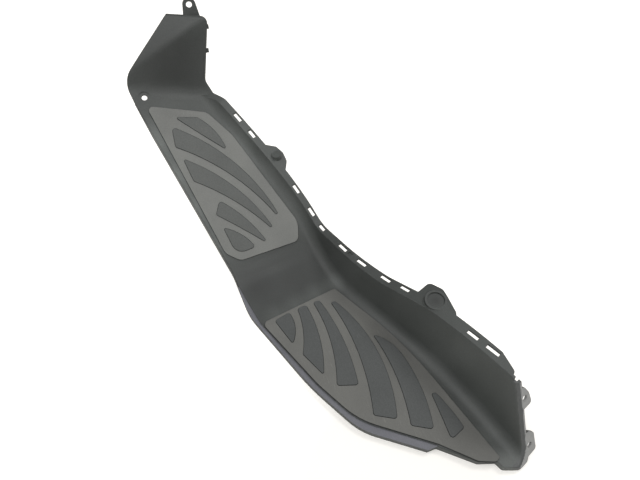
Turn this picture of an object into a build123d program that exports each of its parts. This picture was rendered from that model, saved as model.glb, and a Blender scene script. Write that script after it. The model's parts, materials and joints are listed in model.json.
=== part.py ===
from build123d import *
import os
from functools import lru_cache
from math import cos, radians, sin, tan

# Scooter floorboard, left hand, moulded in one piece. X runs rearward, Y inboard, Z up.
# Sizes are in millimetres. The floor's upper face is at Z = 0 while the board is built.

SKIN = 2.8                      # wall thickness of the moulding
LIP = 10.0                      # depth of the turned-down edge
LEDGE = 1.6                     # drop of the outer ledge below the floor
PAD = 1.5                       # rise of the foot pads
LEAF = 0.9                      # rise of the tread blades above the pads
EDGE_ROUND = 2.4                # rounding of the outer rim
TOE_EDGE_ROUND = 4.5            # rounding of the toe panel's inner and top rim
TREAD_ROUND = 3.2               # rounding of the blunt blade corners in plan
TREAD_SHARE = 0.4               # most of a blade's shorter side that a rounding takes
TIP_ROUND = 1.4                 # rounding of the pointed blade tips
TIP_ANGLE = 60.0                # a corner sharper than this is a tip, degrees
REACH = 420.0                   # extent of the construction spaces
NEAR = 50.0                     # reach of a cutter that acts on one sheet only
TOUCH = 0.01                    # distance within which an edge lies on a face

INCLINE_SLOPE = 35.0            # rise of the front part, degrees
INCLINE_SKEW = 16.0             # turn of the incline about Z, degrees
INCLINE_FOOT = -25.0            # X of the bend on the centre line
BEND_RADIUS = 140.0
TOE_SLOPE = 68.0
TOE_SKEW = 28.0
TOE_FOOT = (-261.2, -11.9)      # plan point where the toe panel meets the incline
TOE_RADIUS = 35.0
TOE_SPAN = (-92.0, 75.0)        # reach of the toe panel along its foot
TOE_SPLIT = 18.0                # length of incline that belongs to the toe panel
LIP_TAPER = 40.0                # length over which the turned-down edge runs out at the toe panel
CREASE = ((26.5, 86.0), (-57.0, 43.0))  # two points of the fold between toe panel and facet
CREASE_TURN = 35.0              # turn of the outer facet away from the toe panel, degrees
CREASE_RADIUS = 22.0

WALL_LEAN = 10.0                # lean of the tunnel wall, degrees
WALL_FOOT_RADIUS = 16.0
WALL_LINE = [                   # X, Y of the wall at floor level and width of its top flange
    (-330.0, -45.0, 9.0),
    (-250.0, -24.0, 9.0),
    (-195.0, -8.7, 10.0),
    (-128.0, 8.0, 9.5),
    (-65.0, 15.5, 9.5),
    (5.0, 11.5, 11.5),
    (120.0, 18.0, 14.5),
    (215.0, 16.5, 14.5),
    (320.0, 0.5, 15.0),
]
WALL_TOP = [                    # X, Z, rounding of the wall's upper edge in side view
    (-330.0, 156.0, 0.0),
    (-228.0, 151.8, 15.0),
    (-56.0, 44.0, 40.0),
    (60.0, 52.0, 80.0),
    (130.0, 68.5, 80.0),
    (241.0, 82.1, 0.0),
    (241.5, 77.6, 0.0),
    (330.0, 88.5, 0.0),
]
FLANGE = 2.6                    # thickness of the top flange
FLANGE_TAIL = [                 # X, distance from the wall, rounding of the cut at its rear end
    (213.0, 40.0, 0.0),
    (213.0, 15.2, 0.0),
    (236.5, 8.2, 5.0),
    (240.5, -1.0, 0.0),
    (320.0, -1.0, 0.0),
    (320.0, 40.0, 0.0),
]
SLOT_WIDTH = 4.8
SLOTS = [                       # X, distance from the wall, length
    (-204.0, 5.8, 11.0),
    (-181.0, 5.8, 10.0),
    (-105.0, 6.4, 11.0),
    (-75.0, 6.1, 11.0),
    (-52.0, 6.0, 10.0),
    (-10.0, 5.7, 14.0),
    (23.0, 5.8, 14.0),
    (60.0, 7.4, 14.0),
    (87.0, 9.0, 12.0),
    (181.0, 9.0, 14.0),
    (207.0, 9.0, 16.0),
]
POCKET = (3.5, 5.9, 6.0)        # blind pocket in line with the slots
POCKET_DEPTH = 1.7
EAR_FRONT = [                   # X, distance from the wall, rounding
    (-170.0, 2.0, 0.0),
    (-160.5, 14.0, 3.0),
    (-155.5, 20.5, 3.0),
    (-146.0, 22.5, 5.0),
    (-136.0, 19.0, 5.0),
    (-122.0, 2.0, 0.0),
]
EAR_REAR = [
    (101.0, 2.0, 0.0),
    (101.0, 33.0, 5.0),
    (119.0, 34.0, 10.0),
    (150.0, 19.0, 8.0),
    (166.0, 2.0, 0.0),
]

OUTLINE = [                     # X, Y, rounding of the board in plan
    (-345.0, -71.0, 0.0),
    (-86.0, -93.2, 60.0),
    (-36.0, -107.9, 80.0),
    (85.0, -110.8, 300.0),
    (160.0, -102.4, 80.0),
    (224.0, -62.7, 1.5),
    (228.0, -52.5, 2.0),
    (268.0, -31.6, 4.0),
    (280.8, -16.4, 2.0),
    (290.0, -16.2, 5.0),
    (302.5, -2.0, 7.0),
    (302.5, REACH, 0.0),
    (-345.0, REACH, 0.0),
]
LEDGE_LINE = [
    (-70.0, -96.5, 0.0),
    (-15.0, -104.6, 30.0),
    (90.0, -104.6, 150.0),
    (150.4, -98.2, 95.0),
    (227.4, -51.1, 0.0),
    (234.0, -55.0, 0.0),
    (234.0, -140.0, 0.0),
    (-70.0, -140.0, 0.0),
]
TOE_OUTLINE = [
    (-54.8, -51.0, 0.0),
    (-75.6, 25.0, 30.0),
    (-8.0, 94.7, 0.0),
    (39.8, 84.0, 8.0),
    (22.5, 12.0, 12.0),
    (30.5, -7.0, 12.0),
    (52.0, -43.5, 0.0),
    (52.0, -90.0, 0.0),
    (-54.8, -90.0, 0.0),
]

REAR_PAD = [
    (-14.5, -103.4, 6.0),
    (90.0, -103.4, 150.0),
    (150.0, -96.9, 95.0),
    (227.0, -49.9, 30.0),
    (267.5, -31.2, 5.0),
    (280.5, -17.5, 4.0),
    (280.3, -11.0, 2.5),
    (120.0, 9.0, 450.0),
    (8.0, -2.5, 4.0),
]
FRONT_PAD = [
    (-272.0, -133.0, 5.0),
    (-243.0, -65.0, 14.0),
    (-206.0, -44.5, 40.0),
    (-72.0, -3.5, 25.0),
    (-48.5, -12.0, 8.0),
    (-50.8, -91.0, 12.0),
    (-66.0, -106.0, 14.0),
]
REAR_BLADES = [                 # corner, point on the side or None where it is straight
    [(-6.5, -89.5), None, (-4.0, -69.0), (14.5, -75.0), (31.5, -92.5), None],
    [(-1.0, -57.5), None, (2.0, -46.5), (45.0, -62.0), (86.0, -91.0), None, (50.5, -92.3), (27.5, -72.0)],
    [(3.5, -36.5), None, (9.0, -29.5), (67.0, -43.0), (121.5, -69.0), None, (106.0, -88.0), (57.0, -54.5)],
    [(19.5, -20.0), None, (22.5, -15.0), (105.0, -22.5), (178.5, -64.0), None, (158.5, -80.5), (93.0, -41.2)],
    [(87.0, -11.5), (104.0, -4.4), (127.0, -3.5), (172.0, -17.3), (213.0, -42.0), None, (194.0, -57.5),
     (147.0, -30.0)],
    [(184.5, -13.5), None, (187.0, -9.3), (210.0, -11.0), (234.0, -15.5), None, (233.5, -35.5),
     (210.0, -24.7)],
]
FRONT_BLADES = [
    [(-248.5, -105.0), (-219.5, -82.0), (-190.0, -58.0), (-216.0, -63.5), (-240.0, -79.0), None],
    [(-237.5, -112.5), None, (-212.5, -117.0), (-150.0, -58.0), (-77.5, -22.5), (-162.0, -49.5)],
    [(-195.5, -113.5), None, (-165.0, -110.8), (-120.0, -67.5), (-68.0, -35.0), (-128.0, -57.5)],
    [(-131.0, -89.5), None, (-116.0, -99.7), (-88.0, -74.5), (-59.0, -50.5), (-97.0, -65.5)],
    [(-97.0, -97.0), None, (-72.0, -94.3), (-63.3, -89.0), (-60.5, -80.5), None, (-60.5, -67.5),
     (-79.0, -77.0)],
]

SCREW_HOLE = 7.0                # clearance hole for an M6 screw
SPOT_FACE = 14.0
BOSS_DEPTH = 3.6
CORNER_HOLE = (-283.0, -131.2)  # on the incline: along the slope, along the level
TAB_HOLE = (20.7, 101.3)        # on the toe panel: along the level, up
TAB_RADIUS = 7.8
TAB_ROOT = (10.5, 31.5, 84.0)   # the tab's ends along the toe's top edge and its root
TAB_SET_BACK = 8.0              # distance of the tab behind the toe panel
TAB_THICKNESS = 3.0
NUBS = [(34.9, 75.0), (29.9, 47.5)]  # on the toe panel: along the level, up
NUB_SIZE = (8.0, 5.0, 2.5)
NUB_SET_BACK = 4.0
EAR_BOSS = (-147.0, 12.5)       # front ear: X and distance from the wall
EAR_BOSS_DIAMETER = 13.0
EAR_BOSS_HEIGHTS = (-9.0, 3.0)
EAR_CUP = (124.0, 15.5)
EAR_CUP_DIAMETER = 26.0
EAR_CUP_HEIGHTS = (-4.0, 2.2)
EAR_CUP_WALL = 3.0
EAR_CUP_DEPTH = 1.8

REAR_SLANT = 34.0               # forward lean of the rear edge, degrees
REAR_EDGE = 300.5               # X of the rear edge at floor level
REAR_ROUND = 5.0                # rounding of the rear edge
REAR_DEPTH = 6.2                # depth of the turned rear edge below the skin
LUG_THICKNESS = 3.0
LUGS = [                        # outline with roundings, hole centre, on the slanted rear plane
    ([(7.0, 1.0, 0.0), (26.0, 1.6, 4.0), (29.5, 23.5, 4.0), (23.0, 31.0, 3.0), (12.0, 32.5, 0.0)],
     (18.8, 13.5)),
    ([(20.0, 61.0, 0.0), (39.0, 60.5, 4.0), (39.0, 75.0, 6.0), (35.5, 84.5, 5.0), (24.0, 92.0, 0.0)],
     (31.2, 72.5)),
]

RIB = 2.0
RIB_DEPTH = LIP
CROSS_RIBS = [-210.0, -150.0, -90.0, 40.0, 105.0, 170.0]
LONG_RIB = -48.0


def heading(slope, skew):
    """Upward normal of a plane that rises forward by slope and is turned by skew."""
    a, b = radians(slope), radians(skew)
    return Vector(sin(a) * cos(b), -sin(a) * sin(b), cos(a))


def level(skew):
    """Inboard level direction of a plane turned by skew."""
    return Vector(sin(radians(skew)), cos(radians(skew)), 0)


FLOOR = Plane.XY
INCLINE_UP = heading(INCLINE_SLOPE, INCLINE_SKEW)
TOE_UP = heading(TOE_SLOPE, TOE_SKEW)
LEAN = tan(radians(WALL_LEAN))
INCLINE = Plane(
    origin=(INCLINE_FOOT, 0, 0),
    x_dir=level(INCLINE_SKEW).cross(INCLINE_UP),
    z_dir=INCLINE_UP,
)


def incline_height(x, y):
    """Z of the incline above a plan point."""
    n = INCLINE_UP
    return -(n.X * (x - INCLINE_FOOT) + n.Y * y) / n.Z


TOE_ORIGIN = Vector(*TOE_FOOT, incline_height(*TOE_FOOT))
TOE = Plane(origin=TOE_ORIGIN, x_dir=level(TOE_SKEW), z_dir=TOE_UP)
TOE_EDGE = INCLINE_UP.cross(TOE_UP).normalized()
DOWNHILL = TOE_EDGE.cross(INCLINE_UP)
TOE_BASE = Plane(origin=TOE_ORIGIN, x_dir=TOE_EDGE, z_dir=INCLINE_UP)
TOE_VIEW = Plane(
    origin=TOE_ORIGIN,
    x_dir=level(TOE_SKEW),
    z_dir=heading((TOE_SLOPE + INCLINE_SLOPE) / 2, TOE_SKEW),
)
SPLIT = Plane(origin=TOE_ORIGIN + DOWNHILL * TOE_SPLIT, z_dir=DOWNHILL)
LIP_END = Plane(
    origin=SPLIT.origin - INCLINE_UP * SKIN,
    z_dir=INCLINE_UP * LIP_TAPER + DOWNHILL * (LIP - SKIN),
)
REAR = Plane(
    origin=(REAR_EDGE, 0, 0),
    x_dir=(0, 1, 0),
    z_dir=(cos(radians(REAR_SLANT)), 0, sin(radians(REAR_SLANT))),
)


def rounded(corners):
    """Face with the given corners (x, y, rounding radius)."""
    face = make_face(Polyline(*[(x, y) for x, y, _ in corners], close=True))
    for x, y, radius in corners:
        if radius:
            face = fillet(face.vertices().sort_by_distance((x, y))[0], radius)
    return face


def blade(points):
    """Tread blade from corners and side points; every corner is rounded."""
    corners, sides = points[0::2], points[1::2]
    edges = []
    for i, side in enumerate(sides):
        start, end = corners[i], corners[(i + 1) % len(corners)]
        edges.append(ThreePointArc(start, side, end) if side else Line(start, end))
    face = make_face(edges)
    for i, corner in enumerate(corners):
        before, after = edges[i - 1], edges[i]
        opening = 180 - (before % 1).get_angle(after % 0)
        largest = TREAD_SHARE * min(before.length, after.length)
        radius = TIP_ROUND if opening < TIP_ANGLE else TREAD_ROUND
        face = fillet(face.vertices().sort_by_distance(corner)[0], min(radius, largest))
    return face


def prism(plane, face, down, up):
    """Solid of a face drawn on a plane, from down below it to up above it."""
    return extrude(plane.offset(-down) * face, down + up)


def along(table, x):
    """Second value of a table at X, between the rows that enclose it."""
    for (x0, v0, _), (x1, v1, _) in zip(table, table[1:]):
        if x0 <= x <= x1:
            return v0 + (v1 - v0) * (x - x0) / (x1 - x0)


def wall_y(x):
    """Y of the wall at floor level."""
    return along(WALL_LINE, x)


def top_z(x):
    """Z of the wall's upper edge."""
    return along(WALL_TOP, x)


def leaning(face):
    """Solid of a plan face swept upward with the lean of the wall."""
    base = Pos(0, -LEAN * REACH, -REACH) * face
    return Solid.extrude(base.face(), Vector(0, 2 * LEAN * REACH, 2 * REACH))


def outboard(points):
    """Plan face outboard of a smooth line through the points."""
    line = Spline(*points)
    rest = Polyline(line @ 1, (points[-1][0], -REACH), (points[0][0], -REACH), line @ 0)
    return make_face([line, rest])


@lru_cache(None)
def floor_space(depth):
    """Space above the floor and the incline, both lowered by depth."""
    section = Plane(
        origin=INCLINE.origin,
        x_dir=(cos(radians(INCLINE_SKEW)), -sin(radians(INCLINE_SKEW)), 0),
        z_dir=-level(INCLINE_SKEW),
    )
    knee = (-depth * tan(radians(INCLINE_SLOPE / 2)), -depth)
    top = (knee[0] - REACH / tan(radians(INCLINE_SLOPE)), REACH - depth)
    face = rounded([(REACH, -depth, 0), (*knee, BEND_RADIUS + depth), (*top, 0), (REACH, REACH, 0)])
    return extrude(section * face, REACH, both=True)


def beside_wall(shift):
    """Everything outboard of the wall line moved inboard by shift."""
    return leaning(outboard([(x, y + shift) for x, y, _ in WALL_LINE]))


@lru_cache(None)
def foot_space(depth):
    """Space over the floor and beside the wall, all of its skin lowered by depth."""
    shift = depth / cos(radians(WALL_LEAN))
    space = floor_space(depth) & beside_wall(shift)
    foot = []
    for e in space.edges():
        x, y, z = e @ 0.5
        within = WALL_LINE[0][0] + TOUCH < x < WALL_LINE[-1][0] - TOUCH and z < REACH / 2
        if within and abs(wall_y(x) + shift + LEAN * z - y) < WALL_FOOT_RADIUS:
            foot.append(e)
    return fillet(foot, WALL_FOOT_RADIUS + depth)


def behind(plane):
    """Everything behind a plane."""
    return plane * Box(4 * REACH, 4 * REACH, 2 * REACH, align=(Align.CENTER, Align.CENTER, Align.MAX))


@lru_cache(None)
def toe_space(depth):
    """Space over the incline in front of the toe panel, its skin lowered by depth."""
    (x0, y0), (x1, y1) = CREASE
    start, end = TOE.from_local_coords((x0, y0)), TOE.from_local_coords((x1, y1))
    crease = (start - end).normalized()
    facet = Plane(origin=start, x_dir=crease, z_dir=TOE_UP.rotate(Axis(end, -crease), CREASE_TURN))
    panel = behind(TOE.offset(-depth)) & behind(facet.offset(-depth))
    middle = (start + end) * 0.5
    panel = fillet(panel.edges().sort_by_distance(middle)[0], CREASE_RADIUS - depth)
    low, high = TOE_SPAN
    space = TOE_BASE.offset(-depth) * Pos((low + high) / 2, 0, 0) * Box(
        high - low, REACH, REACH, align=(Align.CENTER, Align.CENTER, Align.MIN)
    )
    space = space - panel
    return fillet(space.edges().sort_by_distance(TOE_ORIGIN)[0], TOE_RADIUS + depth)


def layer(space, low, high):
    """Material between two depths below the skin of a space."""
    return space(low) - space(high)


def block(space, plane, face):
    """Material under a space within an outline, as deep as the turned-down edge."""
    return prism(plane, face, REACH, REACH) & layer(space, LIP, 0)


def hollow(space, plane, face, depth):
    """Room inside the turned-down edge, from depth below the skin."""
    return prism(plane, offset(face, -SKIN), REACH, REACH) & layer(space, LIP + SKIN, depth)


def on_skin(edge, space):
    """Whether an edge lies on the skin of a space."""
    return space(0).distance_to(Vertex(edge @ 0.5)) < TOUCH


def rimmed(solid, space, plane, face, radius, beyond=(-REACH, -REACH)):
    """Block with its upper rim rounded where it lies beyond a point of the plane."""
    x, y = beyond
    edges = []
    for e in solid.edges():
        flat = plane.to_local_coords(e @ 0.5)
        on_line = face.wire().distance_to(Vertex(flat.X, flat.Y, 0)) < TOUCH
        if on_line and flat.X > x and flat.Y > y and on_skin(e, space):
            edges.append(e)
    return fillet(edges, radius)


def main_shell():
    """Floor, incline and wall, with the lowered outer ledge and the turned rear edge."""
    outline, ledge = rounded(OUTLINE), rounded(LEDGE_LINE)
    board = block(foot_space, FLOOR, outline) & behind(REAR)
    back = [e for e in board.edges() if abs(REAR.to_local_coords(e @ 0.5).Z) < TOUCH]
    rear = [e for e in back if on_skin(e, foot_space)]
    board = rimmed(fillet(rear, REAR_ROUND), foot_space, FLOOR, outline, EDGE_ROUND)
    board = board - (hollow(foot_space, FLOOR, outline, SKIN) & behind(REAR.offset(-LUG_THICKNESS)))
    board = board - hollow(foot_space, FLOOR, outline, REAR_DEPTH)
    inside = prism(FLOOR, outline, REACH, REACH)
    step, sill = [prism(FLOOR, offset(ledge, grown), REACH, REACH) & inside for grown in (0, SKIN)]
    board = board + (sill & layer(foot_space, SKIN + LEDGE, SKIN / 2))
    board = board - (step & foot_space(LEDGE))
    above = rounded([*WALL_TOP, (WALL_TOP[-1][0], 2 * REACH, 0), (WALL_TOP[0][0], 2 * REACH, 0)])
    board = board - (prism(Plane.XZ, above, REACH, REACH) - beside_wall(-WALL_FOOT_RADIUS))
    front = board - beside_wall(-WALL_FOOT_RADIUS)
    return split(board - behind(LIP_END), SPLIT, keep=Keep.TOP) + ahead(front)


def ahead(piece):
    """The part of a piece that runs into the toe panel."""
    return split(piece, SPLIT, keep=Keep.BOTTOM) & toe_space(SKIN / 2)


def toe_shell():
    """Toe panel with its outer facet."""
    outline = rounded(TOE_OUTLINE)
    beyond = (TOE_OUTLINE[2][0], TOE_OUTLINE[6][1])
    board = rimmed(block(toe_space, TOE_VIEW, outline), toe_space, TOE_VIEW, outline, TOE_EDGE_ROUND, beyond)
    board = board - hollow(toe_space, TOE_VIEW, outline, SKIN)
    return split(board, SPLIT, keep=Keep.BOTTOM)


def raised(plane, faces, rise):
    """Relief of the given height on the skin."""
    relief = foot_space(SKIN / 2) - foot_space(-rise)
    return Part() + [prism(plane, face, NEAR, NEAR) & relief for face in faces]


def treads():
    """Foot pads with their blades."""
    pads = raised(FLOOR, [rounded(REAR_PAD)], PAD) + raised(INCLINE, [rounded(FRONT_PAD)], PAD)
    rear = raised(FLOOR, [blade(b) for b in REAR_BLADES], PAD + LEAF)
    front = raised(INCLINE, [blade(b) for b in FRONT_BLADES], PAD + LEAF)
    return pads + rear + front


def pad_hollows():
    """Hollows under the foot pads, which keep the wall thickness even."""
    room = layer(foot_space, SKIN, SKIN - PAD)
    rear = prism(FLOOR, offset(rounded(REAR_PAD), -SKIN), NEAR, NEAR) & room
    front = prism(INCLINE, offset(rounded(FRONT_PAD), -SKIN), NEAR, NEAR) & room
    return rear + front


def ear(corners):
    """Plan face of a flange ear given by distances from the wall."""
    return rounded([(x, wall_y(x) + out, radius) for x, out, radius in corners])


def flange():
    """Slotted flange along the top of the wall, with its two ears."""
    plan = outboard([(x, y + width) for x, y, width in WALL_LINE]) + ear(EAR_FRONT) + ear(EAR_REAR)
    plan = plan - outboard([(x, y) for x, y, _ in WALL_LINE]) - ear(FLANGE_TAIL)
    lower = [(x, z - FLANGE, radius) for x, z, radius in reversed(WALL_TOP)]
    strip = leaning(plan) & prism(Plane.XZ, rounded([*WALL_TOP, *lower]), REACH, REACH)
    strip = strip + post(EAR_BOSS, EAR_BOSS_DIAMETER, *EAR_BOSS_HEIGHTS)
    strip = strip + post(EAR_CUP, EAR_CUP_DIAMETER, *EAR_CUP_HEIGHTS)
    cup = EAR_CUP_DIAMETER - 2 * EAR_CUP_WALL
    strip = strip - post(EAR_CUP, cup, EAR_CUP_HEIGHTS[1] - EAR_CUP_DEPTH, NEAR)
    for x, out, length in SLOTS:
        strip = strip - slot(x, out, length)
    strip = strip - slot(*POCKET, low=top_z(POCKET[0]) - POCKET_DEPTH)
    return split(strip, SPLIT, keep=Keep.TOP) + ahead(strip)


def slot(x, out, length, low=0):
    """Cutter of one hook slot, square to the ground and along the wall, from height low upward."""
    half = length / 2
    turn = (wall_y(x + half) - wall_y(x - half) + LEAN * (top_z(x + half) - top_z(x - half))) / length
    middle = wall_y(x) + LEAN * top_z(x) + out
    corners = [
        (x - half, middle - half * turn - SLOT_WIDTH / 2, 0),
        (x + half, middle + half * turn - SLOT_WIDTH / 2, 0),
        (x + half, middle + half * turn + SLOT_WIDTH / 2, 0),
        (x - half, middle - half * turn + SLOT_WIDTH / 2, 0),
    ]
    return prism(FLOOR.offset(low), rounded(corners), 0, REACH)


def post(spot, diameter, low, high):
    """Upright cylinder at a spot of the flange, between two heights about its upper face."""
    x, out = spot
    z = top_z(x)
    y = wall_y(x) + LEAN * z + out
    base = Plane(origin=(x, y, z + low))
    return extrude(base * Circle(diameter / 2), high - low)


def rear_lugs(board):
    """Screw lugs on the slanted rear plane, which start inside the turned rear edge."""
    for corners, centre in LUGS:
        hole = Pos(*centre) * Circle(SCREW_HOLE / 2)
        board = board + (prism(REAR, rounded(corners), LUG_THICKNESS, 0) - foot_space(REAR_ROUND))
        board = board - prism(REAR, hole, LUG_THICKNESS, NEAR)
    return board


def ribs():
    """Stiffening ribs under the floor and the incline."""
    inside = prism(FLOOR, offset(rounded(OUTLINE), -SKIN / 2), REACH, REACH)
    plates = [Pos(x, 0, 0) * Box(RIB, 2 * REACH, 2 * REACH) for x in CROSS_RIBS]
    plates.append(Pos(0, LONG_RIB, 0) * Box(2 * REACH, RIB, 2 * REACH))
    inside = inside & beside_wall(0) & behind(REAR)
    web = (Part() + plates) & inside & layer(foot_space, RIB_DEPTH, SKIN / 2)
    return split(web, SPLIT, keep=Keep.TOP)


def toe_tab():
    """Screw tab on the toe panel's top edge."""
    start, end, root = TAB_ROOT
    x, y = TAB_HOLE
    face = make_hull([
        *Circle(TAB_RADIUS).locate(Location((x, y, 0))).edges(), *Line((start, root), (end, root)).edges()
    ])
    face = face - Pos(x, y) * Circle(SCREW_HOLE / 2)
    return prism(TOE.offset(-TAB_SET_BACK), face, TAB_THICKNESS, 0)


def nubs():
    """Small hooks on the toe panel's inner edge."""
    base = TOE.offset(-NUB_SET_BACK)
    return Part() + [base * Pos(x, y, 0) * Box(*NUB_SIZE) for x, y in NUBS]


def corner_screw(board):
    """Screw point in the front outer corner: boss below, spot face above, clearance hole."""
    spot = Pos(*CORNER_HOLE) * Circle(SPOT_FACE / 2)
    hole = Pos(*CORNER_HOLE) * Circle(SCREW_HOLE / 2)
    board = board + prism(INCLINE, spot, BOSS_DEPTH, 0)
    board = board - prism(INCLINE, spot, 0, NEAR)
    return board - prism(INCLINE, hole, NEAR, NEAR)


def floorboard():
    """The whole moulding, its bounding box centred over the origin and standing on Z = 0."""
    board = main_shell() + toe_shell() - pad_hollows()
    board = board + treads() + flange() + ribs() + toe_tab() + nubs()
    board = rear_lugs(corner_screw(board))
    box = board.bounding_box()
    return Pos(-box.center().X, -box.center().Y, -box.min.Z) * board


if __name__ == "__main__":
    os.makedirs("parts", exist_ok=True)
    export_step(floorboard(), "parts/floorboard.step")
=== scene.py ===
"""Looks of a scooter floorboard: a one-piece charcoal moulding with two grained foot pads."""
import json
import logging
import math
from dataclasses import dataclass, field
from enum import IntEnum

import bmesh
import bpy
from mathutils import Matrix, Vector


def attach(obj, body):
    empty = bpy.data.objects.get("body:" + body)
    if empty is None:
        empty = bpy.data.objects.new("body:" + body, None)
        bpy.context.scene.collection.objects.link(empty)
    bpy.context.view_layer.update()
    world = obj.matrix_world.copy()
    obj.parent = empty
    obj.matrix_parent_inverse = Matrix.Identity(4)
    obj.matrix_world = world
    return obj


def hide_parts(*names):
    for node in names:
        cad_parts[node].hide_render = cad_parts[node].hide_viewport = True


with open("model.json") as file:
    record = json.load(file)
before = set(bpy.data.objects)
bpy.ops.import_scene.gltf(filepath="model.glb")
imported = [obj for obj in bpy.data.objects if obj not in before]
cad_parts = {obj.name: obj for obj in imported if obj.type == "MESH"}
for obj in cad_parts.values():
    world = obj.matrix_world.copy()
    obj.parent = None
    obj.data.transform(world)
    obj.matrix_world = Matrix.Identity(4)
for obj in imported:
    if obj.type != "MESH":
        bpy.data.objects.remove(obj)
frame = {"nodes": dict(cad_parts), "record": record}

LOG = logging.getLogger("floorboard")
MM = 0.001
WELD = 0.002 * MM


class Zone(IntEnum):
    """Finish zones of the moulding, in the order of its material slots."""

    PLAIN = 0
    FRONT_PAD = 1
    REAR_PAD = 2
    FRONT_BLADE = 3
    REAR_BLADE = 4
    LEDGE = 5
    STEP = 6
    LUG = 7
    REAR_EDGE = 8


TOPS = (Zone.FRONT_PAD, Zone.REAR_PAD, Zone.FRONT_BLADE, Zone.REAR_BLADE)


@dataclass(frozen=True)
class ShadingPatch:
    """Soft round area of painted light and shade: the finish is paler in it where the tone is above
    1 and darker where it is below.

    Attributes:
        name: Place of the area in plain words.
        centre: Middle of the area in metres.
        radius: Distance at which it ends in metres.
        tone: Factor of the colour in the middle.
    """

    name: str
    centre: tuple[float, float, float]
    radius: float
    tone: float


@dataclass(frozen=True)
class Finish:
    """One moulded finish of the plastic.

    Attributes:
        name: Name of the material.
        colour: Main colour, linear.
        tint: Colour of the paler blotches, linear.
        roughness: Lowest and highest roughness.
        cell: Width of one grain cell in metres.
        relief: Depth of the grain in metres.
        blotch: Width of the colour blotches in metres.
        scuff: Strength of the rubbed marks, from 0 to 1.
        specular: Specular level of the plastic.
        shading_patches: Soft areas of painted light and shade, in which the finish is paler or
            darker.
    """

    name: str
    colour: tuple[float, float, float]
    tint: tuple[float, float, float]
    roughness: tuple[float, float]
    cell: float
    relief: float
    blotch: float
    scuff: float
    specular: float
    shading_patches: tuple[ShadingPatch, ...] = ()


def shading_patch_row(first: ShadingPatch, last: ShadingPatch, count: int) -> tuple[ShadingPatch, ...]:
    """Sets patches in a straight row, passing evenly from one end to the other.

    Args:
        first: Patch at the start of the row.
        last: Patch at its end.
        count: Number of patches, both ends included.

    Returns:
        The patches in order.
    """
    row = []
    for index in range(count):
        share = index / (count - 1)
        centre = Vector(first.centre).lerp(Vector(last.centre), share)
        radius = first.radius + share * (last.radius - first.radius)
        tone = first.tone + share * (last.tone - first.tone)
        row.append(ShadingPatch(first.name, tuple(centre), radius, tone))
    return tuple(row)


# Painted light: paler areas along the outer margin of the incline.
OUTER_MARGIN_LIGHT = shading_patch_row(
    ShadingPatch("outer margin of the incline", (-0.235, -0.057, 0.141), 0.035, 1.80),
    ShadingPatch("outer margin of the incline", (-0.115, -0.067, 0.057), 0.035, 1.40),
    4,
)
# Painted highlight: paler areas at the end of the bend, towards the foot of the wall.
BEND_END_HIGHLIGHT = shading_patch_row(
    ShadingPatch("end of the bend", (-0.005, -0.059, 0.010), 0.023, 1.55),
    ShadingPatch("end of the bend", (0.009, 0.024, 0.012), 0.021, 1.85),
    4,
)
# Painted light and shade on the plain finish: tones below 1 paint shade, as on the toe panel, the
# bend, the foot of the wall and in the cup of the rear ear; tones above 1 paint light, as on the
# incline, the rear of the wall and the rear tongue.
PLAIN_LIGHT_AND_SHADE = (
    ShadingPatch("toe panel", (-0.271, 0.004, 0.198), 0.078, 0.56),
    ShadingPatch("foot of the toe panel", (-0.255, -0.015, 0.160), 0.050, 1.30),
    ShadingPatch("incline", (-0.160, -0.010, 0.100), 0.170, 1.62),
    ShadingPatch("inner margin of the incline", (-0.183, 0.031, 0.124), 0.035, 1.25),
    ShadingPatch("bend", (-0.030, -0.010, 0.020), 0.100, 0.62),
    ShadingPatch("outer side of the bend", (-0.052, -0.058, 0.021), 0.040, 0.58),
    ShadingPatch("wall beside the bend", (-0.079, 0.042, 0.057), 0.050, 1.15),
    ShadingPatch("rear of the wall", (0.200, 0.050, 0.065), 0.110, 1.30),
    ShadingPatch("foot of the wall", (0.120, 0.036, 0.013), 0.030, 0.85),
    ShadingPatch("rear foot of the wall", (0.200, 0.034, 0.015), 0.045, 0.82),
    ShadingPatch("strip beside the rear pad", (0.265, 0.018, 0.010), 0.022, 1.35),
    ShadingPatch("rear tongue", (0.300, 0.014, 0.010), 0.030, 1.90),
    ShadingPatch("cup of the rear ear", (0.131, 0.069, 0.078), 0.015, 0.50),
    *OUTER_MARGIN_LIGHT,
    *BEND_END_HIGHLIGHT,
)
# Painted shade on the pads: darker at the top of the front pad and over the middle and the end of
# the rear pad.
FRONT_PAD_SHADE = (ShadingPatch("top of the front pad", (-0.250, -0.020, 0.160), 0.055, 0.84),)
REAR_PAD_SHADE = (
    ShadingPatch("middle of the rear pad", (0.130, 0.030, 0.012), 0.090, 0.76),
    ShadingPatch("end of the rear pad", (0.260, 0.010, 0.012), 0.060, 0.88),
)
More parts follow.
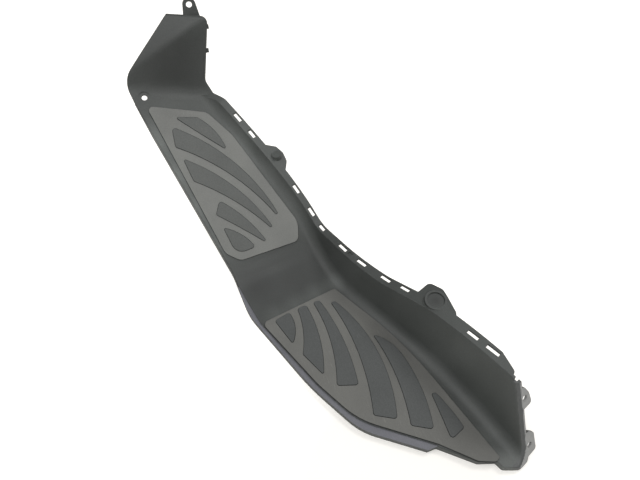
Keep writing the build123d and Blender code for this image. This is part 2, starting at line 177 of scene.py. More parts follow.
FINISHES: dict[Zone, Finish] = {
    Zone.PLAIN: Finish(
        name="charcoal_plain",
        colour=(0.058, 0.063, 0.059),
        tint=(0.069, 0.074, 0.070),
        roughness=(0.44, 0.56),
        cell=1.1 * MM,
        relief=0.06 * MM,
        blotch=55.0 * MM,
        scuff=0.25,
        specular=0.5,
        shading_patches=PLAIN_LIGHT_AND_SHADE,
    ),
    # Painted light: the same grained finish as the rear pad, made paler for the light that the
    # incline catches.
    Zone.FRONT_PAD: Finish(
        name="front_pad_grain_painted_light",
        colour=(0.205, 0.209, 0.197),
        tint=(0.236, 0.240, 0.226),
        roughness=(0.60, 0.74),
        cell=0.8 * MM,
        relief=0.09 * MM,
        blotch=45.0 * MM,
        scuff=0.30,
        specular=0.4,
        shading_patches=FRONT_PAD_SHADE,
    ),
    Zone.REAR_PAD: Finish(
        name="rear_pad_grain",
        colour=(0.152, 0.152, 0.141),
        tint=(0.176, 0.176, 0.163),
        roughness=(0.60, 0.74),
        cell=0.8 * MM,
        relief=0.09 * MM,
        blotch=45.0 * MM,
        scuff=0.30,
        specular=0.4,
        shading_patches=REAR_PAD_SHADE,
    ),
    # Painted light: the same finish as the rear blades, made paler for the light that the incline
    # catches.
    Zone.FRONT_BLADE: Finish(
        name="front_blade_painted_light",
        colour=(0.108, 0.114, 0.108),
        tint=(0.124, 0.130, 0.123),
        roughness=(0.50, 0.62),
        cell=1.4 * MM,
        relief=0.07 * MM,
        blotch=40.0 * MM,
        scuff=0.30,
        specular=0.45,
    ),
    Zone.REAR_BLADE: Finish(
        name="rear_blade",
        colour=(0.078, 0.083, 0.081),
        tint=(0.090, 0.095, 0.093),
        roughness=(0.50, 0.62),
        cell=1.4 * MM,
        relief=0.07 * MM,
        blotch=40.0 * MM,
        scuff=0.30,
        specular=0.45,
    ),
    Zone.LEDGE: Finish(
        name="cool_ledge",
        colour=(0.150, 0.152, 0.170),
        tint=(0.172, 0.174, 0.194),
        roughness=(0.40, 0.50),
        cell=1.1 * MM,
        relief=0.04 * MM,
        blotch=50.0 * MM,
        scuff=0.20,
        specular=0.5,
    ),
    # Painted shade: near black on the steep sides of the pads and the blades and on the fine lines
    # along their feet.
    Zone.STEP: Finish(
        name="painted_shade_step",
        colour=(0.020, 0.022, 0.021),
        tint=(0.026, 0.028, 0.027),
        roughness=(0.55, 0.65),
        cell=1.1 * MM,
        relief=0.04 * MM,
        blotch=40.0 * MM,
        scuff=0.10,
        specular=0.3,
    ),
    # Painted highlight: the turned rear edge is paler than the plain finish, for the light that its
    # rounding catches.
    Zone.REAR_EDGE: Finish(
        name="rear_edge",
        colour=(0.096, 0.100, 0.098),
        tint=(0.112, 0.116, 0.114),
        roughness=(0.44, 0.56),
        cell=1.1 * MM,
        relief=0.05 * MM,
        blotch=40.0 * MM,
        scuff=0.25,
        specular=0.5,
    ),
    Zone.LUG: Finish(
        name="pale_lug",
        colour=(0.330, 0.332, 0.326),
        tint=(0.380, 0.382, 0.374),
        roughness=(0.42, 0.52),
        cell=1.1 * MM,
        relief=0.05 * MM,
        blotch=20.0 * MM,
        scuff=0.30,
        specular=0.5,
    ),
}


def new_group(
    name: str, inputs: dict[str, tuple[str, object]], outputs: dict[str, str]
) -> bpy.types.NodeTree:
    """Starts a shader node group with named sockets.

    Args:
        name: Name of the group.
        inputs: Socket names with their types and default values.
        outputs: Socket names with their types.

    Returns:
        The group, with its input and output nodes in place.
    """
    tree = bpy.data.node_groups.new(name, "ShaderNodeTree")
    for label, (kind, value) in inputs.items():
        socket = tree.interface.new_socket(name=label, in_out="INPUT", socket_type=kind)
        if value is not None:
            socket.default_value = value
    for label, kind in outputs.items():
        tree.interface.new_socket(name=label, in_out="OUTPUT", socket_type=kind)
    tree.nodes.new("NodeGroupInput")
    tree.nodes.new("NodeGroupOutput")
    return tree


class Wiring:
    """Short calls that add nodes to a tree and join them."""

    def __init__(self, tree: bpy.types.NodeTree) -> None:
        """Keeps the tree that the calls work on."""
        self.tree = tree

    def node(self, kind: str, **settings: object) -> bpy.types.Node:
        """Adds a node.

        Args:
            kind: Type name of the node.
            **settings: Properties of the node.

        Returns:
            The new node.
        """
        made = self.tree.nodes.new(kind)
        for label, value in settings.items():
            setattr(made, label, value)
        return made

    def put(self, target: bpy.types.NodeSocket, value: object) -> None:
        """Links a socket to the target, or sets the target's own value."""
        if isinstance(value, bpy.types.NodeSocket):
            self.tree.links.new(value, target)
        else:
            target.default_value = value

    def math(self, operation: str, *values: object, clamp: bool = False) -> bpy.types.NodeSocket:
        """Adds a Math node.

        Args:
            operation: Name of the operation.
            *values: Sockets or numbers for its inputs.
            clamp: Whether the result is kept between 0 and 1.

        Returns:
            The result socket.
        """
        made = self.node("ShaderNodeMath", operation=operation, use_clamp=clamp)
        for target, value in zip(made.inputs, values):
            self.put(target, value)
        return made.outputs[0]

    def span(
        self, value: object, low: float, high: float, start: object = 0.0, end: object = 1.0
    ) -> bpy.types.NodeSocket:
        """Adds a Map Range node.

        Args:
            value: Socket to map.
            low: Value that becomes start.
            high: Value that becomes end.
            start: First result.
            end: Last result.

        Returns:
            The mapped socket.
        """
        made = self.node("ShaderNodeMapRange")
        for target, item in zip(made.inputs, (value, low, high, start, end)):
            self.put(target, item)
        return made.outputs[0]

    def noise(
        self, place: object, scale: object, detail: float, roughness: float = 0.5
    ) -> bpy.types.NodeSocket:
        """Adds a Noise Texture.

        Args:
            place: Coordinates.
            scale: Scale per metre.
            detail: Number of octaves.
            roughness: Share of the finer octaves.

        Returns:
            The noise value.
        """
        made = self.node("ShaderNodeTexNoise")
        self.put(made.inputs["Vector"], place)
        self.put(made.inputs["Scale"], scale)
        self.put(made.inputs["Detail"], detail)
        self.put(made.inputs["Roughness"], roughness)
        return made.outputs[0]


@dataclass
class SurfaceEffects:
    """Node groups that the finishes share.

    Attributes:
        cell_softness: Softness of the grain's cells, from 0 to 1.
        crown_span: Distances from a cell's middle at which its crown starts and stops falling.
        tooth_scale: Number of finer teeth across one cell.
        tooth_share: Share of the teeth in the height of the grain.
        hollow_span: Heights at which a hollow is full and gone.
        blotch_span: Noise at which a blotch starts and is full.
        streak_turn: Turn of the rubbed streaks in degrees.
        streak_stretch: Length of a streak in its own widths.
        streak_scale: Number of streaks in a metre.
        streak_span: Noise at which a streak starts and is full.
        rubbed_scale: Number of rubbed areas across one blotch.
        rubbed_span: Noise at which a rubbed area starts and is full.
    """

    cell_softness: float = 0.6
    crown_span: tuple[float, float] = (0.05, 0.75)
    tooth_scale: float = 2.6
    tooth_share: float = 0.3
    hollow_span: tuple[float, float] = (0.25, 0.75)
    blotch_span: tuple[float, float] = (0.36, 0.64)
    streak_turn: float = -24.0
    streak_stretch: float = 9.0
    streak_scale: float = 900.0
    streak_span: tuple[float, float] = (0.60, 0.72)
    rubbed_scale: float = 0.7
    rubbed_span: tuple[float, float] = (0.50, 0.66)

    def __post_init__(self) -> None:
        """Builds the groups once."""
        self.grain = self.build_grain()
        self.marks = self.build_marks()
        self.shading_patch = self.build_shading_patch()

    def build_grain(self) -> bpy.types.NodeTree:
        """Builds the moulded grain: soft cells with a finer tooth on them.

        Returns:
            A group with outputs Height and Hollow.
        """
        tree = new_group(
            "moulded_grain",
            {"Place": ("NodeSocketVector", None), "Cell": ("NodeSocketFloat", 1.0 * MM)},
            {"Height": "NodeSocketFloat", "Hollow": "NodeSocketFloat"},
        )
        wire = Wiring(tree)
        given, out = tree.nodes["Group Input"], tree.nodes["Group Output"]
        scale = wire.math("DIVIDE", 1.0, given.outputs["Cell"])
        cells = wire.node("ShaderNodeTexVoronoi", feature="SMOOTH_F1")
        wire.put(cells.inputs["Vector"], given.outputs["Place"])
        wire.put(cells.inputs["Scale"], scale)
        wire.put(cells.inputs["Smoothness"], self.cell_softness)
        fine = wire.math("MULTIPLY", scale, self.tooth_scale)
        teeth = wire.noise(given.outputs["Place"], fine, 2.0)
        crown = wire.span(cells.outputs["Distance"], *self.crown_span, 1.0 - self.tooth_share, 0.0)
        height = wire.math("ADD", crown, wire.math("MULTIPLY", teeth, self.tooth_share))
        wire.put(out.inputs["Height"], height)
        wire.put(out.inputs["Hollow"], wire.span(height, *self.hollow_span, 1.0, 0.0))
        return tree

    def build_marks(self) -> bpy.types.NodeTree:
        """Builds the marks of use: broad pale blotches and short rubbed streaks.

        Returns:
            A group with outputs Blotch and Scuff.
        """
        tree = new_group(
            "marks_of_use",
            {"Place": ("NodeSocketVector", None), "Blotch Size": ("NodeSocketFloat", 0.05)},
            {"Blotch": "NodeSocketFloat", "Scuff": "NodeSocketFloat"},
        )
        wire = Wiring(tree)
        given, out = tree.nodes["Group Input"], tree.nodes["Group Output"]
        scale = wire.math("DIVIDE", 1.0, given.outputs["Blotch Size"])
        broad = wire.noise(given.outputs["Place"], scale, 3.0, 0.55)
        stretch = wire.node("ShaderNodeMapping", vector_type="TEXTURE")
        wire.put(stretch.inputs["Vector"], given.outputs["Place"])
        stretch.inputs["Rotation"].default_value = (0.0, 0.0, math.radians(self.streak_turn))
        stretch.inputs["Scale"].default_value = (self.streak_stretch, 1.0, 1.0)
        streak = wire.noise(stretch.outputs[0], self.streak_scale, 2.0, 0.6)
        wide = wire.math("MULTIPLY", scale, self.rubbed_scale)
        rubbed = wire.span(wire.noise(given.outputs["Place"], wide, 1.0), *self.rubbed_span)
        scuff = wire.math("MULTIPLY", wire.span(streak, *self.streak_span), rubbed, clamp=True)
        wire.put(out.inputs["Blotch"], wire.span(broad, *self.blotch_span))
        wire.put(out.inputs["Scuff"], scuff)
        return tree

    @staticmethod
    def build_shading_patch() -> bpy.types.NodeTree:
        """Builds the soft round patch of painted light and shade, which makes a finish darker or
        paler.

        Returns:
            A group with the output Factor, which is 1 outside the patch.
        """
        tree = new_group(
            "soft_shading_patch",
            {
                "Place": ("NodeSocketVector", None),
                "Centre": ("NodeSocketVector", None),
                "Radius": ("NodeSocketFloat", 0.05),
                "Tone": ("NodeSocketFloat", 1.0),
            },
            {"Factor": "NodeSocketFloat"},
        )
        wire = Wiring(tree)
        given, out = tree.nodes["Group Input"], tree.nodes["Group Output"]
        gap = wire.node("ShaderNodeVectorMath", operation="DISTANCE")
        wire.put(gap.inputs[0], given.outputs["Place"])
        wire.put(gap.inputs[1], given.outputs["Centre"])
        fade = wire.node("ShaderNodeMapRange", interpolation_type="SMOOTHSTEP")
        wire.put(fade.inputs["Value"], gap.outputs["Value"])
        wire.put(fade.inputs["From Max"], given.outputs["Radius"])
        wire.put(fade.inputs["To Min"], given.outputs["Tone"])
        wire.put(fade.inputs["To Max"], 1.0)
        wire.put(out.inputs["Factor"], fade.outputs["Result"])
        return tree


@dataclass
class MouldedPlastic:
    """Maker of the plastic's materials.

    Attributes:
        effects: The shared node groups.
        rounding: Radius by which the shading softens hard edges, in metres.
        rounding_rays: Number of rays that find those edges.
        pit_strength: Strength of the darker pits between the grain's cells.
        pit_tone: Factor of the colour in the pits.
        rub_gain: Factor of the tint where the plastic is rubbed.
    """

    effects: SurfaceEffects
    rounding: float = 0.6 * MM
    rounding_rays: int = 4
    pit_strength: float = 0.35
    pit_tone: float = 0.62
    rub_gain: float = 1.7

    def make(self, finish: Finish) -> bpy.types.Material:
        """Makes the material of one finish.

        Args:
            finish: The finish to make.

        Returns:
            A procedural material.
        """
        material = bpy.data.materials.new(finish.name)
        material.use_nodes = True
        wire = Wiring(material.node_tree)
        shader = material.node_tree.nodes["Principled BSDF"]
        place = wire.node("ShaderNodeTexCoord").outputs["Object"]
        grain = self.effect(wire, self.effects.grain, {"Place": place, "Cell": finish.cell})
        spread = {"Place": place, "Blotch Size": finish.blotch}
        marks = self.effect(wire, self.effects.marks, spread)
        colour = self.paint(wire, shader, finish, grain, marks)
        # Painted light and shade: each patch scales the colour up or down.
        for shading_patch in finish.shading_patches:
            values = {
                "Place": place,
                "Centre": shading_patch.centre,
                "Radius": shading_patch.radius,
                "Tone": shading_patch.tone,
            }
            factor = self.effect(wire, self.effects.shading_patch, values).outputs["Factor"]
            shaded = wire.node("ShaderNodeVectorMath", operation="SCALE", label=shading_patch.name)
            wire.put(shaded.inputs[0], colour)
            wire.put(shaded.inputs["Scale"], factor)
            colour = shaded.outputs[0]
        wire.put(shader.inputs["Base Color"], colour)
        bevel = wire.node("ShaderNodeBevel", samples=self.rounding_rays)
        bevel.inputs["Radius"].default_value = self.rounding
        bump = wire.node("ShaderNodeBump")
        wire.put(bump.inputs["Height"], grain.outputs["Height"])
        wire.put(bump.inputs["Distance"], finish.relief)
        wire.put(bump.inputs["Normal"], bevel.outputs[0])
        wire.put(shader.inputs["Normal"], bump.outputs[0])
        shader.inputs["Specular IOR Level"].default_value = finish.specular
        material.diffuse_color = (*finish.colour, 1.0)
        return material

    @staticmethod
    def effect(
        wire: Wiring, group: bpy.types.NodeTree, values: dict[str, object]
    ) -> bpy.types.Node:
        """Places a shared group in a material.

        Args:
            wire: Wiring of the material.
            group: The group to place.
            values: Sockets or numbers for its inputs.

        Returns:
            The group's node.
        """
        made = wire.node("ShaderNodeGroup", node_tree=group)
        for label, value in values.items():
            wire.put(made.inputs[label], value)
        return made

    def paint(
        self,
        wire: Wiring,
        shader: bpy.types.Node,
        finish: Finish,
        grain: bpy.types.Node,
        marks: bpy.types.Node,
    ) -> bpy.types.NodeSocket:
        """Drives the colour and the roughness from the grain and the marks.

        Args:
            wire: Wiring of the material.
            shader: The material's shader.
            finish: The finish that gives the values.
            grain: Node of the grain group.
            marks: Node of the marks group.

        Returns:
            The colour, before any patches.
        """
        tone = wire.node("ShaderNodeMix", data_type="RGBA")
        wire.put(tone.inputs["Factor"], marks.outputs["Blotch"])
        wire.put(tone.inputs["A"], (*finish.colour, 1.0))
        wire.put(tone.inputs["B"], (*finish.tint, 1.0))
        pits = wire.node("ShaderNodeMix", data_type="RGBA", blend_type="MULTIPLY")
        depth = wire.math("MULTIPLY", grain.outputs["Hollow"], self.pit_strength)
        wire.put(pits.inputs["Factor"], depth)
        wire.put(pits.inputs["A"], tone.outputs["Result"])
        wire.put(pits.inputs["B"], (self.pit_tone,) * 3 + (1.0,))
        rubbed = wire.node("ShaderNodeMix", data_type="RGBA")
        wear = wire.math("MULTIPLY", marks.outputs["Scuff"], finish.scuff)
        wire.put(rubbed.inputs["Factor"], wear)
        wire.put(rubbed.inputs["A"], pits.outputs["Result"])
        pale = [min(1.0, self.rub_gain * part) for part in finish.tint]
        wire.put(rubbed.inputs["B"], (*pale, 1.0))
        roughness = wire.span(marks.outputs["Blotch"], 0.0, 1.0, *finish.roughness)
        wire.put(shader.inputs["Roughness"], roughness)
        return rubbed.outputs["Result"]


@dataclass
class Skin:
    """Upper face of the floor, the bend and the incline, from which reliefs are measured.

    Attributes:
        slope: Rise of the incline in degrees.
        skew: Turn of the incline about the upright in degrees.
        foot: Plan point where floor and incline would meet, in metres.
        floor: Height of the floor's upper face in metres.
        bend: Radius of the bend in metres.
    """

    slope: float = 35.0
    skew: float = 16.0
    foot: tuple[float, float] = (-0.017941, 0.023583)
    floor: float = 0.010
    bend: float = 0.140

    def rise(self, point: Vector) -> float:
        """Height of a point above the skin, square to it.

        Args:
            point: A point of the moulding.

        Returns:
            The height in metres, below zero under the skin.
        """
        turn, tilt = math.radians(self.skew), math.radians(self.slope)
        east, north = point.x - self.foot[0], point.y - self.foot[1]
        along = east * math.cos(turn) - north * math.sin(turn)
        up = point.z - self.floor
        reach = self.bend * math.tan(tilt / 2)
        if along >= reach:
            return up
        if along * math.cos(tilt) - up * math.sin(tilt) <= -reach:
            return along * math.sin(tilt) + up * math.cos(tilt)
        return self.bend - math.hypot(along - reach, up - self.bend)

    def normal(self, point: Vector) -> Vector:
        """Upward normal of the skin near a point.

        Args:
            point: A point of the moulding.

        Returns:
            The unit normal.
        """
        step = 0.01 * MM
        axes = (Vector((1, 0, 0)), Vector((0, 1, 0)), Vector((0, 0, 1)))
        here = self.rise(point)
        return Vector([self.rise(point + step * axis) - here for axis in axes]).normalized()


def find_lug_holes() -> tuple[Vector, ...]:
    """Middles of the screw holes in the rear lugs, from the frame's mounts."""
    mounts = frame["record"]["mounts"]
    return tuple(Vector(item["pos_m"]) for item in mounts if item["name"].startswith("rear_lug"))


@dataclass
class Moulding:
    """The board itself: the solid's surface with soft shading and one finish for each zone.

    Attributes:
        node: Name of the solid.
        skin: Upper face from which the pads rise.
        pad: Rise of the foot pads in metres.
        blade: Rise of the tread blades above the floor in metres.
        ledge: Drop of the outer ledge in metres.
        divide: X between the front pad and the rear pad in metres.
        rear_edge: X of the slanted rear plane at floor level in metres.
        rear_slant: Forward lean of the rear plane in degrees.
        lug_holes: Middles of the screw holes in the lugs, in metres.
        hole_reach: Distance from a hole's middle within which a face is its wall, in metres.
        ribs: X of the cross ribs that reach the ledge, in metres.
        rib_half: Half the width of a rib's end with its play, in metres.
        rib_end: Level of the ribs' ends in metres.
        play: Distance from its level within which a face belongs to it, in metres.
        along: Least cosine between a face and the level that it belongs to.
        rim_facing: Least cosine between the rear plane and a face of the turned rear edge.
        rim_depth: Depth of the turned rear edge below the rear plane in metres.
        steep: Largest cosine between a step and the top beside it.
        same_way: Least cosine between two faces of one step.
        crease: Angle above which an edge stays hard, in degrees.
        feet: Lines along which pads and blades meet the face below them.
    """

    node: str = "floorboard"
    skin: Skin = field(default_factory=Skin)
    pad: float = 1.5 * MM
    blade: float = 2.4 * MM
    ledge: float = -1.6 * MM
    divide: float = -0.030
    rear_edge: float = 0.307559
    rear_slant: float = 34.0
    lug_holes: tuple[Vector, ...] = field(default_factory=find_lug_holes)
    hole_reach: float = 4.2 * MM
    ribs: tuple[float, ...] = (0.047059, 0.112059, 0.177059)
    rib_half: float = 1.05 * MM
    rib_end: float = -1.4 * MM
    play: float = 0.2 * MM
    along: float = 0.98
    rim_facing: float = 0.45
    rim_depth: float = 5.0 * MM
    steep: float = 0.35
    same_way: float = 0.9
    crease: float = 28.0
    feet: list[tuple[Vector, Vector]] = field(default_factory=list)

    def build(self) -> bpy.types.Object:
        """Makes the surface.

        Returns:
            A closed mesh object in the solid's own place.
        """
        shape = bmesh.new()
        shape.from_mesh(frame["nodes"][self.node].data)
        self.level_ledge(shape)
        bmesh.ops.remove_doubles(shape, verts=shape.verts, dist=WELD)
        bmesh.ops.dissolve_degenerate(shape, edges=shape.edges, dist=WELD / 2)
        shape.normal_update()
        for face in shape.faces:
            face.smooth = True
            face.material_index = self.zone(face)
        for zone in TOPS:
            self.spread(shape, zone)
        self.mark_steps(shape)
        self.feet = self.find_feet(shape)
        mesh = bpy.data.meshes.new("board_surface")
        shape.to_mesh(mesh)
        shape.free()
        if "custom_normal" in mesh.attributes:
            mesh.attributes.remove(mesh.attributes["custom_normal"])
        mesh.set_sharp_from_angle(angle=math.radians(self.crease))
        piece = bpy.data.objects.new("board_surface", mesh)
        bpy.context.scene.collection.objects.link(piece)
        return piece

    def zone(self, face: bmesh.types.BMFace) -> Zone:
        """Finds the finish zone of a face.

        Args:
            face: A face of the board.

        Returns:
            The zone whose level the whole face lies at.
        """
        rises = [self.skin.rise(corner.co) for corner in face.verts]
        middle = face.calc_center_median()
        ahead = middle.x < self.divide
        levels = {
            Zone.FRONT_PAD if ahead else Zone.REAR_PAD: self.pad,
            Zone.FRONT_BLADE if ahead else Zone.REAR_BLADE: self.blade,
            Zone.LEDGE: self.ledge,
        }
        if face.normal.dot(self.skin.normal(middle)) > self.along:
            for zone, level in levels.items():
                if all(abs(rise - level) < self.play for rise in rises):
                    return zone
        slant = math.radians(self.rear_slant)
        back = Vector((math.cos(slant), 0.0, math.sin(slant)))
        off = (middle - Vector((self.rear_edge, 0.0, self.skin.floor))).dot(back)
        facing = face.normal.dot(back)
        in_hole = any((middle - hole).length < self.hole_reach for hole in self.lug_holes)
        if in_hole or (facing > self.along and abs(off) < self.play):
            return Zone.LUG
        turned = facing > self.rim_facing and -self.rim_depth < off < self.play
        return Zone.REAR_EDGE if turned else Zone.PLAIN

    def level_ledge(self, shape: bmesh.types.BMesh) -> None:
        """Lowers the ends of the ribs to the ledge, so that it runs through evenly.

        Args:
            shape: The board's surface.
        """
        for corner in shape.verts:
            near = any(abs(corner.co.x - x) < self.rib_half for x in self.ribs)
            if near and abs(self.skin.rise(corner.co) - self.rib_end) < self.play / 10:
                corner.co += self.skin.normal(corner.co) * (self.ledge - self.rib_end)

    def find_feet(self, shape: bmesh.types.BMesh) -> list[tuple[Vector, Vector]]:
        """Finds the lines along which pads and blades meet the face below them.

        Args:
            shape: The board's surface.

        Returns:
            The ends of each piece of line.
        """
        feet = []
        for edge in shape.edges:
            steps = [face for face in edge.link_faces if face.material_index == Zone.STEP]
            below = [face for face in edge.link_faces if face.material_index != Zone.STEP]
            if len(steps) == 1 and len(below) == 1:
                ends = [corner.co.copy() for corner in edge.verts]
                rise = sum(self.skin.rise(end) for end in ends) / 2
                if rise < self.skin.rise(steps[0].calc_center_median()):
                    feet.append((ends[0], ends[1]))
        return feet

    def mark_steps(self, shape: bmesh.types.BMesh) -> None:
        """Marks the narrow steep faces beside the pads and the blades, which get the near black
        finish of painted shade.

        Args:
            shape: The board's surface.
        """
        for face in shape.faces:
            if face.material_index == Zone.PLAIN:
                tops = [other for other in self.beside(face) if other.material_index in TOPS]
                if any(abs(face.normal.dot(top.normal)) < self.steep for top in tops):
                    face.material_index = Zone.STEP
        for face in shape.faces:
            if face.material_index == Zone.PLAIN:
                steps = [other for other in self.beside(face) if other.material_index == Zone.STEP]
                if any(face.normal.dot(step.normal) > self.same_way for step in steps):
                    face.material_index = Zone.STEP

    @staticmethod
    def beside(face: bmesh.types.BMFace) -> list[bmesh.types.BMFace]:
        """Lists the faces that share an edge with a face, which is listed too."""
        return [other for edge in face.edges for other in edge.link_faces]

    def spread(self, shape: bmesh.types.BMesh, zone: Zone) -> None:
        """Carries a zone on over soft edges, up to the hard edge that ends it.

        Args:
            shape: The board's surface.
            zone: The zone that is carried on.
        """
        soft = math.radians(self.crease)
        found = [face for face in shape.faces if face.material_index == zone]
        while found:
            face = found.pop()
            for edge in face.edges:
                if edge.calc_face_angle(math.pi) > soft:
                    continue
                for other in edge.link_faces:
                    if other.material_index == Zone.PLAIN:
                        other.material_index = zone
                        found.append(other)

    def dress(self, piece: bpy.types.Object, plastic: MouldedPlastic) -> None:
        """Gives the surface its finishes and its place in the frame.

        Args:
            piece: The board's surface.
            plastic: Maker of the materials.
        """
        for zone in Zone:
            piece.data.materials.append(plastic.make(FINISHES[zone]))
        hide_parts(self.node)
        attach(piece, "root")


@dataclass
class FootShadeLines:
    """Painted shade: fine dark lines in the corners along the feet of the pads and the blades.

    Attributes:
        width: Thickness of a line in metres.
        sides: Number of sides of a line's section.
    """

    width: float = 1.0 * MM
    sides: int = 6

    def build(
        self, feet: list[tuple[Vector, Vector]], material: bpy.types.Material
    ) -> bpy.types.Object:
        """Draws the lines.

        Args:
            feet: The ends of each piece of line.
            material: Finish of the lines.

        Returns:
            A plain mesh object.
        """
        shape = bmesh.new()
        for start, end in feet:
            shape.edges.new((shape.verts.new(start), shape.verts.new(end)))
        bmesh.ops.remove_doubles(shape, verts=shape.verts, dist=WELD)
        path = bpy.data.meshes.new("foot_path")
        shape.to_mesh(path)
        shape.free()
        guide = bpy.data.objects.new("foot_path", path)
        bpy.context.scene.collection.objects.link(guide)
        modifier = guide.modifiers.new("lines", "NODES")
        modifier.node_group = self.nodes()
        values = {"Width": self.width, "Sides": self.sides, "Material": material}
        for item in modifier.node_group.interface.items_tree:
            if item.name in values:
                modifier[item.identifier] = values[item.name]
        swept = guide.evaluated_get(bpy.context.evaluated_depsgraph_get())
        mesh = bpy.data.meshes.new_from_object(swept)
        bpy.data.objects.remove(guide)
        piece = bpy.data.objects.new("foot_shade_lines", mesh)
        bpy.context.scene.collection.objects.link(piece)
        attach(piece, "root")
        return piece

    @staticmethod
    def nodes() -> bpy.types.NodeTree:
        """Builds the node tree that sweeps a round section along edges.

        Returns:
            A geometry node tree with inputs Width, Sides and Material.
        """
        tree = bpy.data.node_groups.new("line_along_edges", "GeometryNodeTree")
        sockets = {"Geometry": "Geometry", "Width": "Float", "Sides": "Int", "Material": "Material"}
        for name, kind in sockets.items():
            tree.interface.new_socket(name=name, in_out="INPUT", socket_type=f"NodeSocket{kind}")
        shape = "NodeSocketGeometry"
        tree.interface.new_socket(name="Geometry", in_out="OUTPUT", socket_type=shape)
        wire = Wiring(tree)
        given, out = tree.nodes.new("NodeGroupInput"), tree.nodes.new("NodeGroupOutput")
        curve = wire.node("GeometryNodeMeshToCurve")
        section = wire.node("GeometryNodeCurvePrimitiveCircle")
        sweep = wire.node("GeometryNodeCurveToMesh")
        real = wire.node("GeometryNodeRealizeInstances")
        dress = wire.node("GeometryNodeSetMaterial")
        half = wire.math("MULTIPLY", given.outputs["Width"], 0.5)
        wire.put(curve.inputs["Mesh"], given.outputs["Geometry"])
        wire.put(section.inputs["Radius"], half)
        wire.put(section.inputs["Resolution"], given.outputs["Sides"])
        wire.put(sweep.inputs["Curve"], curve.outputs["Curve"])
        wire.put(sweep.inputs["Profile Curve"], section.outputs["Curve"])
        wire.put(real.inputs["Geometry"], sweep.outputs["Mesh"])
        wire.put(dress.inputs["Geometry"], real.outputs["Geometry"])
        wire.put(dress.inputs["Material"], given.outputs["Material"])
        wire.put(out.inputs["Geometry"], dress.outputs["Geometry"])
        return tree


@dataclass(frozen=True)
class Lamp:
    """One soft square lamp.

    Attributes:
        name: Name of the lamp.
        place: Place of its middle in metres.
        size: Side of the square in metres.
        power: Power in watts.
    """

    name: str
    place: tuple[float, float, float]
    size: float
    power: float


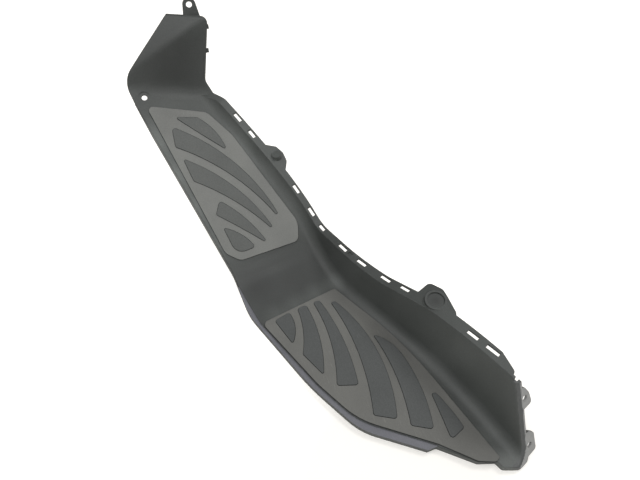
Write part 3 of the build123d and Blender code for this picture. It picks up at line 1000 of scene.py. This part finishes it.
@dataclass
class Studio:
    """White table, soft light and the camera.

    Attributes:
        camera: Place of the camera in metres.
        turn: Rotation of the camera in degrees.
        lens: Focal length in millimetres.
        sensor: Width of the sensor in millimetres.
        near_clip: Distance from which the camera sees, in metres.
        lamps: A large lamp overhead, one behind the camera and one behind the wall.
        aim: Point that the lamps face.
        ambient: Strength of the light all round.
        table: Side of the table top in metres.
        table_colour: Colour of the table top, linear.
        table_roughness: Roughness of the table top.
        table_glow: Colour of the light that the table top adds where the camera sees it.
        table_white: Strength of that light near the board; far away it is 1.
        table_far: Distances at which the strength starts and stops rising to 1, in metres.
        shade_middle: Middle of the area beside the rear edge with less of that light, in metres.
        shade_reach: Distances from there at which the strength starts and stops rising, in metres.
        shade_white: Strength of the light in that area.
    """

    camera: tuple[float, float, float] = (0.281565, -0.242076, 0.632586)
    turn: tuple[float, float, float] = (36.01, -0.1627, 48.5412)
    lens: float = 31.5
    sensor: float = 36.0
    near_clip: float = 0.01
    lamps: tuple[Lamp, ...] = (
        Lamp("overhead_box", (-0.15, -0.75, 1.55), 1.8, 14.5),
        Lamp("camera_side", (0.95, -0.60, 1.80), 0.5, 6.5),
        Lamp("back_right", (0.25, 1.15, 1.60), 0.5, 9.0),
    )
    aim: tuple[float, float, float] = (0.0, 0.0, 0.08)
    ambient: float = 0.30
    table: float = 60.0
    table_colour: tuple[float, float, float] = (0.90, 0.88, 0.84)
    table_roughness: float = 0.9
    table_glow: tuple[float, float, float] = (1.0, 0.985, 0.95)
    table_white: float = 0.62
    table_far: tuple[float, float] = (0.7, 2.2)
    shade_middle: tuple[float, float, float] = (0.240, -0.090, 0.0)
    shade_reach: tuple[float, float] = (0.10, 0.22)
    shade_white: float = 0.22

    def build(self) -> None:
        """Sets up the whole studio."""
        self.build_table()
        self.build_world()
        for lamp in self.lamps:
            self.build_lamp(lamp)
        self.build_camera()
        bpy.context.scene.view_settings.view_transform = "Standard"

    def build_table(self) -> None:
        """Lays the white table top, which keeps the board's shadow."""
        half = self.table / 2
        mesh = bpy.data.meshes.new("table_top")
        corners = [(-half, -half, 0), (half, -half, 0), (half, half, 0), (-half, half, 0)]
        mesh.from_pydata(corners, [], [(0, 1, 2, 3)])
        top = bpy.data.objects.new("table_top", mesh)
        bpy.context.scene.collection.objects.link(top)
        material = bpy.data.materials.new("white_table")
        material.use_nodes = True
        wire = Wiring(material.node_tree)
        shader = material.node_tree.nodes["Principled BSDF"]
        shader.inputs["Base Color"].default_value = (*self.table_colour, 1.0)
        shader.inputs["Roughness"].default_value = self.table_roughness
        shader.inputs["Emission Color"].default_value = (*self.table_glow, 1.0)
        seen = wire.node("ShaderNodeLightPath").outputs["Is Camera Ray"]
        place = wire.node("ShaderNodeTexCoord").outputs["Object"]
        away = wire.node("ShaderNodeVectorMath", operation="LENGTH")
        wire.put(away.inputs[0], place)
        beside = wire.node("ShaderNodeVectorMath", operation="DISTANCE")
        wire.put(beside.inputs[0], place)
        wire.put(beside.inputs[1], self.shade_middle)
        gap = beside.outputs["Value"]
        near = wire.span(gap, *self.shade_reach, self.shade_white, self.table_white)
        fade = wire.span(away.outputs["Value"], *self.table_far, near, 1.0)
        wire.put(shader.inputs["Emission Strength"], wire.math("MULTIPLY", seen, fade))
        mesh.materials.append(material)

    def build_world(self) -> None:
        """Lights the scene evenly from all round, with white behind it."""
        world = bpy.data.worlds.new("studio")
        world.use_nodes = True
        bpy.context.scene.world = world
        wire = Wiring(world.node_tree)
        seen = wire.node("ShaderNodeLightPath").outputs["Is Camera Ray"]
        ground = world.node_tree.nodes["Background"]
        ground.inputs["Color"].default_value = (1.0, 1.0, 1.0, 1.0)
        wire.put(ground.inputs["Strength"], wire.span(seen, 0.0, 1.0, self.ambient, 1.0))

    def build_lamp(self, lamp: Lamp) -> None:
        """Hangs one soft lamp, facing the board.

        Args:
            lamp: The lamp to hang.
        """
        data = bpy.data.lights.new(lamp.name, "AREA")
        data.energy = lamp.power
        data.size = lamp.size
        holder = bpy.data.objects.new(lamp.name, data)
        holder.location = lamp.place
        way = Vector(self.aim) - Vector(lamp.place)
        holder.rotation_euler = way.to_track_quat("-Z", "Y").to_euler()
        bpy.context.scene.collection.objects.link(holder)

    def build_camera(self) -> None:
        """Places the camera at the photograph's viewing angle."""
        data = bpy.data.cameras.new("camera")
        data.sensor_width = self.sensor
        data.lens = self.lens
        data.clip_start = self.near_clip
        holder = bpy.data.objects.new("camera", data)
        holder.location = self.camera
        holder.rotation_euler = [math.radians(angle) for angle in self.turn]
        bpy.context.scene.collection.objects.link(holder)
        bpy.context.scene.camera = holder


def main() -> None:
    """Builds the board and the studio in order."""
    logging.basicConfig(level=logging.INFO, format="%(name)s: %(message)s")
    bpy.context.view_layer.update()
    plastic = MouldedPlastic(SurfaceEffects())
    moulding = Moulding()
    piece = moulding.build()
    moulding.dress(piece, plastic)
    # The fine lines of painted shade take the near black step finish.
    lines = FootShadeLines().build(moulding.feet, piece.data.materials[Zone.STEP])
    LOG.info("%s: %d faces", lines.name, len(lines.data.polygons))
    zones = [face.material_index for face in piece.data.polygons]
    LOG.info("%s: faces by zone %s", piece.name, {zone.name: zones.count(zone) for zone in Zone})
    studio = Studio()
    studio.build()
    LOG.info("studio: table, %d lamps and camera", len(studio.lamps))


if __name__ == "__main__":
    main()
